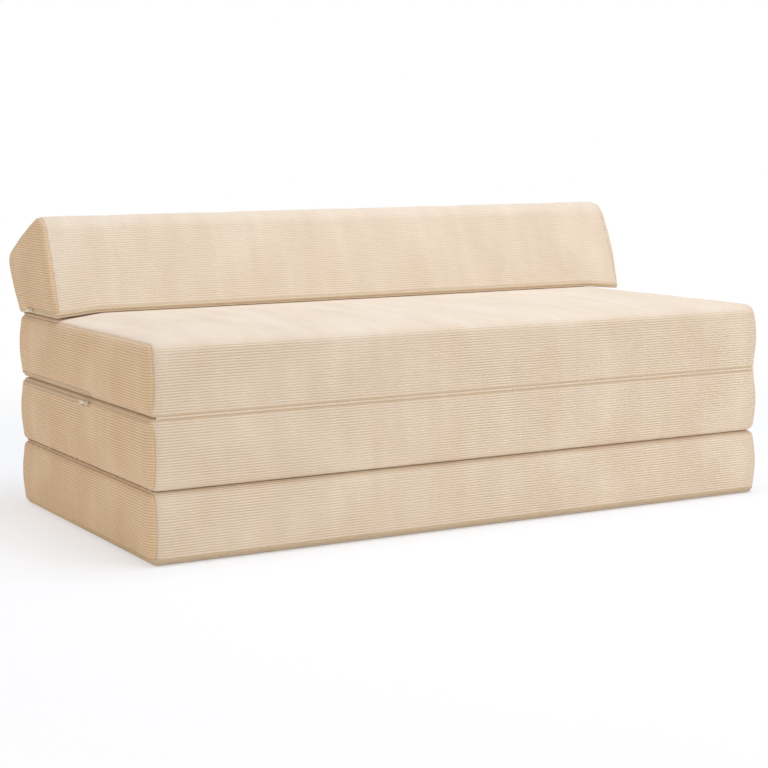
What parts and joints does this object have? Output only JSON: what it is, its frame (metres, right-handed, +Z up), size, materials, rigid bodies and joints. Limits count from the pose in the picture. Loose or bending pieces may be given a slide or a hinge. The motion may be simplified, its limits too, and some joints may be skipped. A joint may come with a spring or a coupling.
{
  "type": "folding sofa bed",
  "caption": "Folding foam sofa bed: flat sections folded in a stack under a wedge backrest, in zipped corduroy covers, that unfold on cloth hinges into a bed with a pillow.",
  "frame": {"origin": "middle of the flat face under the lowest section, which rests on the floor", "axes": "+X along the sofa, -Y the side that a sitter faces, +Z up"},
  "size_m": [1.378, 0.7744, 0.5984],
  "materials": {
    "corduroy": "matte",
    "plain_backing": "matte",
    "foam": "matte",
    "zipper_tape": "matte",
    "zipper_chain": "satin",
    "zipper_metal": "satin"
  },
  "bodies": {
    "base_section": {"base_cover_base_panel": "plain_backing", "base_cover_left_end": "corduroy", "base_cover_right_end": "corduroy", "base_cover_wrap": "corduroy", "base_foam_core": "foam", "base_zipper_chain": "zipper_chain", "base_zipper_tape": "zipper_tape", "rear_hinge_base_strip": "corduroy"},
    "middle_section": {"front_hinge_middle_strip": "corduroy", "middle_cover_base_panel": "plain_backing", "middle_cover_left_end": "corduroy", "middle_cover_right_end": "corduroy", "middle_cover_wrap": "corduroy", "middle_foam_core": "foam", "middle_zipper_chain": "zipper_chain", "middle_zipper_tape": "zipper_tape", "rear_hinge_middle_strip": "corduroy"},
    "seat_section": {"backrest_hinge_seat_strip": "corduroy", "front_hinge_seat_strip": "corduroy", "seat_cover_base_panel": "plain_backing", "seat_cover_left_end": "corduroy", "seat_cover_right_end": "corduroy", "seat_cover_wrap": "corduroy", "seat_foam_core": "foam", "seat_zipper_chain": "zipper_chain", "seat_zipper_tape": "zipper_tape"},
    "backrest_section": {"backrest_cover_base_panel": "corduroy", "backrest_cover_left_end": "corduroy", "backrest_cover_right_end": "corduroy", "backrest_cover_wrap": "corduroy", "backrest_foam_core": "foam", "backrest_hinge_backrest_strip": "corduroy", "backrest_zipper_chain": "zipper_chain", "backrest_zipper_tape": "zipper_tape"},
    "base_slider": {"base_zipper_slider": "zipper_metal"},
    "base_pull": {"base_zipper_pull": "zipper_metal"},
    "middle_slider": {"middle_zipper_slider": "zipper_metal"},
    "middle_pull": {"middle_zipper_pull": "zipper_metal"},
    "seat_slider": {"seat_zipper_slider": "zipper_metal"},
    "seat_pull": {"seat_zipper_pull": "zipper_metal"},
    "backrest_slider": {"backrest_zipper_slider": "zipper_metal"},
    "backrest_pull": {"backrest_zipper_pull": "zipper_metal"}
  },
  "joints": [
    {"name": "rear_hinge", "type": "hinge", "parent": "base_section", "child": "middle_section", "pos_m": [0, 0.3628, 0.132], "axis": [-1, 0, 0], "range_deg": [0, 180]},
    {"name": "front_hinge", "type": "hinge", "parent": "middle_section", "child": "seat_section", "pos_m": [0, -0.3628, 0.264], "axis": [1, 0, 0], "range_deg": [0, 180]},
    {"name": "backrest_hinge", "type": "hinge", "parent": "seat_section", "child": "backrest_section", "pos_m": [0, 0.3628, 0.396], "axis": [-1, 0, 0], "range_deg": [0, 154.7]},
    {"name": "base_zipper_slide", "type": "slide", "parent": "base_section", "child": "base_slider", "axis": [0, -1, 0], "range_m": [0, 0.36]},
    {"name": "base_pull_hinge", "type": "hinge", "parent": "base_slider", "child": "base_pull", "pos_m": [0.6825, 0.0425, 0.00902], "axis": [-0.1798, 0, -0.9837], "range_deg": [0, 150]},
    {"name": "middle_zipper_slide", "type": "slide", "parent": "middle_section", "child": "middle_slider", "axis": [0, 1, 0], "range_m": [0, 0.36]},
    {"name": "middle_pull_hinge", "type": "hinge", "parent": "middle_slider", "child": "middle_pull", "pos_m": [-0.6825, -0.0425, 0.25478], "axis": [0.18, 0, 0.9837], "range_deg": [0, 150]},
    {"name": "seat_zipper_slide", "type": "slide", "parent": "seat_section", "child": "seat_slider", "axis": [0, 1, 0], "range_m": [0, 0.36]},
    {"name": "seat_pull_hinge", "type": "hinge", "parent": "seat_slider", "child": "seat_pull", "pos_m": [0.6825, -0.0425, 0.27322], "axis": [-0.18, 0, -0.9837], "range_deg": [0, 150]},
    {"name": "backrest_zipper_slide", "type": "slide", "parent": "backrest_section", "child": "backrest_slider", "axis": [0, -1, 0], "range_m": [0, 0.105]},
    {"name": "backrest_pull_hinge", "type": "hinge", "parent": "backrest_slider", "child": "backrest_pull", "pos_m": [-0.68203, 0.2698, 0.4074], "axis": [-0.1142, 0, 0.9935], "range_deg": [0, 150]}
  ]
}
